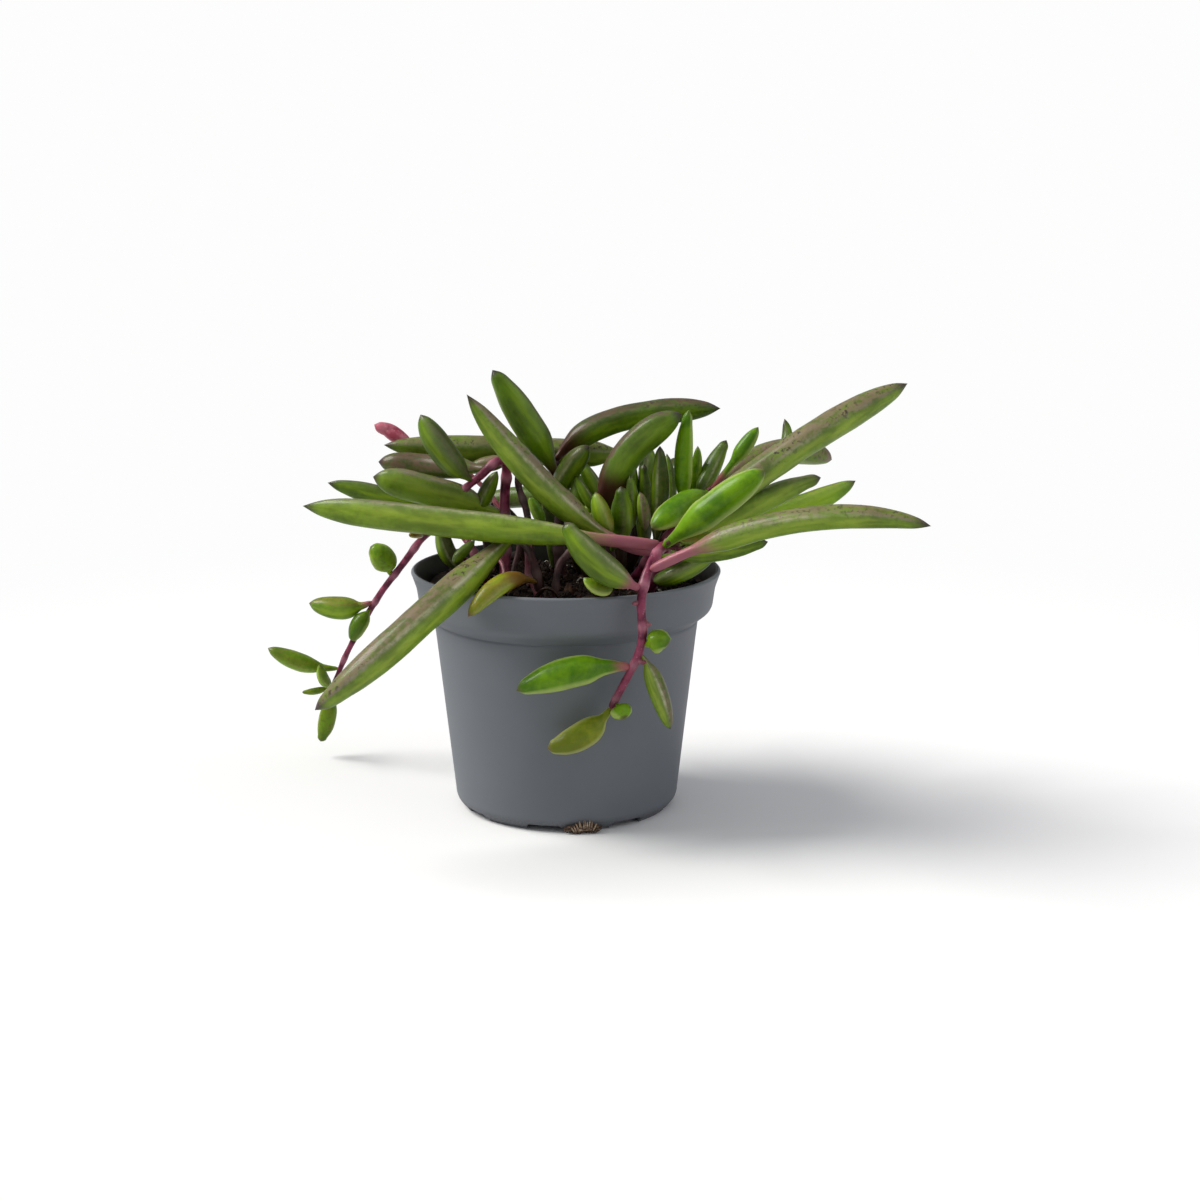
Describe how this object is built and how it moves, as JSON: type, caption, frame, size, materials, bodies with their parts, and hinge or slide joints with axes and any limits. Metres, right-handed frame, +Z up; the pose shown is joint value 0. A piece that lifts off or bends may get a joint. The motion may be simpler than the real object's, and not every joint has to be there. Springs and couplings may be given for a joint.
{
  "type": "potted trailing succulent",
  "caption": "Tapered nursery pot with a collar, holding a trailing succulent with long spindle-shaped fleshy leaves on thin stems that arch and hang over the lip",
  "frame": {"origin": "where the pot's axis meets the surface that the pot stands on, which is also the middle of the bounding box's base", "axes": "+Z up along the pot's axis; -Y towards the front, where the stem hangs over the lip; +X towards the two long leaves on the right"},
  "size_m": [0.127, 0.0848, 0.085],
  "materials": {
    "pot_plastic": "matte mid grey moulded plastic",
    "soil": "matte damp dark potting substrate with pale grains",
    "root": "matte dry tan root ends",
    "stem": "satin magenta-purple plant skin",
    "bud": "matte pink flower bud",
    "leaf_deep": "satin waxy deep green leaf skin",
    "leaf_bright": "satin waxy bright yellow-green leaf skin",
    "leaf_flushed": "satin waxy green leaf skin, flushed purple-brown on the upper face"
  },
  "bodies": {
    "root": {"pot": "pot_plastic", "soil": "soil", "root_wisps": "root", "arching_stem": "stem", "back_stem": "stem", "centre_stem": "stem", "fore_stem": "stem", "front_stem": "stem", "middle_stem": "stem", "rear_stem": "stem", "right_stem": "stem", "trailing_stem": "stem", "flower_bud": "bud", "back_left_leaf": "leaf_deep", "back_long_leaf": "leaf_flushed", "back_right_leaf": "leaf_deep", "back_side_leaf": "leaf_deep", "crown_bright_leaf": "leaf_bright", "crown_folded_leaf": "leaf_bright", "hanging_bead_lower": "leaf_bright", "hanging_bead_upper": "leaf_bright", "hanging_folded_leaf": "leaf_bright", "hanging_leaf_lower": "leaf_bright", "hanging_leaf_upper": "leaf_bright", "hooked_leaf": "leaf_flushed", "inner_leaf": "leaf_deep", "inside_pot_leaf": "leaf_deep", "left_blunt_leaf": "leaf_deep", "left_broad_leaf": "leaf_flushed", "left_low_leaf": "leaf_deep", "left_upright_leaf": "leaf_deep", "long_left_leaf": "leaf_flushed", "low_side_leaf": "leaf_deep", "lower_left_leaf": "leaf_flushed", "lower_right_leaf": "leaf_flushed", "rear_drooping_leaf": "leaf_flushed", "rear_left_leaf": "leaf_flushed", "rear_right_leaf": "leaf_flushed", "rear_small_leaf": "leaf_deep", "rim_leaf": "leaf_deep", "rim_side_leaf": "leaf_deep", "short_dark_leaf": "leaf_deep", "side_bright_leaf": "leaf_bright", "side_dark_leaf": "leaf_flushed", "tall_front_leaf": "leaf_flushed", "tall_rear_leaf": "leaf_flushed", "trail_bead_lower": "leaf_bright", "trail_bead_upper": "leaf_bright", "trail_leaf_lower": "leaf_bright", "trail_leaf_upper": "leaf_bright", "trail_tip_down": "leaf_bright", "trail_tip_side": "leaf_bright", "trail_tip_upright": "leaf_bright", "upper_right_leaf": "leaf_flushed", "upright_bright_leaf": "leaf_bright", "upright_grey_leaf": "leaf_deep", "upright_pale_leaf": "leaf_deep", "upright_short_leaf": "leaf_deep", "yellow_leaf": "leaf_bright", "yellow_rim_leaf": "leaf_bright"}
  },
  "joints": []
}
